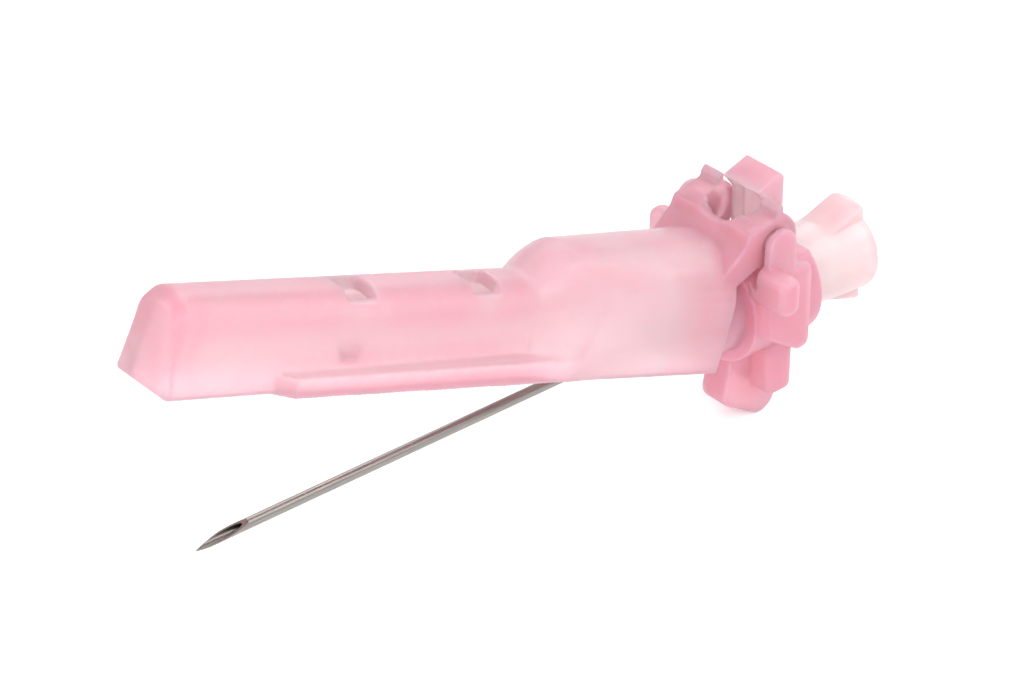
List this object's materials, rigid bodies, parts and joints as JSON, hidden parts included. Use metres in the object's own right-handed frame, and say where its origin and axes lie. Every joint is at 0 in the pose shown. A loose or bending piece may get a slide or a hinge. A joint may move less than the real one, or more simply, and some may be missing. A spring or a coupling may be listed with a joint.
{
  "type": "safety needle",
  "caption": "Hypodermic safety needle: a steel cannula in a pale pink hub, with a deeper pink collar and a hinged translucent pink sheath standing half open above the cannula.",
  "frame": {"origin": "centre of the hub's rear face, where the syringe's tip enters", "axes": "+X along the cannula from its point to the syringe end, +Z towards the sheath's hinge, +Y across, along the hinge axis"},
  "size_m": [0.0599, 0.014, 0.0287],
  "materials": {
    "steel": "ground",
    "adhesive": "clear",
    "hub_plastic": "translucent",
    "collar_plastic": "satin",
    "sheath_plastic": "translucent"
  },
  "bodies": {
    "hub_assembly": {"cannula": "steel", "adhesive_bead": "adhesive", "needle_hub": "hub_plastic", "collar": "collar_plastic"},
    "sheath_body": {"sheath": "sheath_plastic"}
  },
  "joints": [
    {"name": "sheath_hinge", "type": "hinge", "parent": "hub_assembly", "child": "sheath_body", "pos_m": [-0.011, 0, 0.0061], "axis": [0, 1, 0], "range_deg": [-19.3, 60]}
  ]
}
